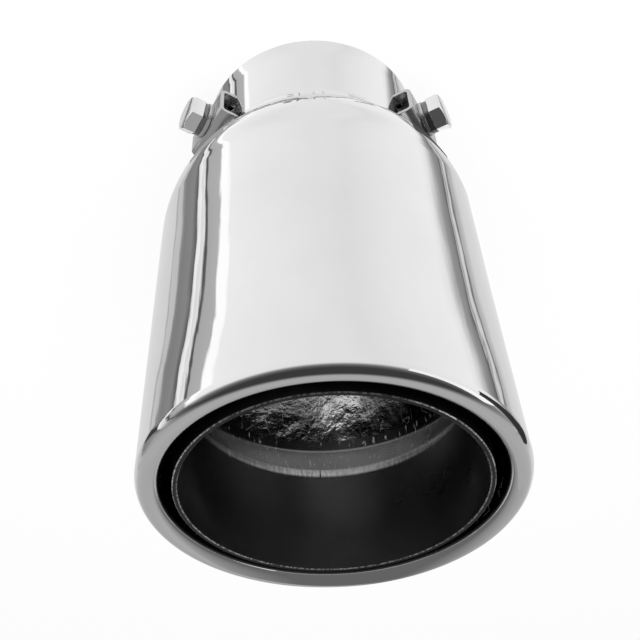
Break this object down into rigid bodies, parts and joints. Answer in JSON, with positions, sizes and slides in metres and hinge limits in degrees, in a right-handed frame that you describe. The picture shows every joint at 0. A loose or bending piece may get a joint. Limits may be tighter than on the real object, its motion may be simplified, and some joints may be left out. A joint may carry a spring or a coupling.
{
  "type": "exhaust tip",
  "caption": "Round straight-cut exhaust tip with a rolled lip, an inner tube and a narrower inlet sleeve clamped by bolts in saddles.",
  "frame": {"origin": "centre of the inlet sleeve's rear edge", "axes": "+Z along the tip's axis, from the inlet towards the mouth, -Y the side between the two front clamp bolts"},
  "size_m": [0.09, 0.09, 0.1406],
  "materials": {
    "polished_steel": "mirror polished stainless steel",
    "bright_tube": "polished stainless steel with a raw cut edge",
    "saddle_sheet": "satin stainless steel sheet",
    "washer_steel": "bright steel",
    "bolt_steel": "bright steel"
  },
  "bodies": {
    "root": {"outer_shell": "polished_steel", "inner_liner": "bright_tube", "saddle_right": "saddle_sheet", "saddle_back": "saddle_sheet", "saddle_left": "saddle_sheet", "clamp_nut_right": "bolt_steel", "clamp_nut_back": "bolt_steel", "clamp_nut_left": "bolt_steel", "flat_washer_right": "washer_steel", "flat_washer_back": "washer_steel", "flat_washer_left": "washer_steel", "lock_washer_right": "washer_steel", "lock_washer_back": "washer_steel", "lock_washer_left": "washer_steel", "bolt_right": "bolt_steel", "bolt_back": "bolt_steel", "bolt_left": "bolt_steel"}
  },
  "joints": []
}
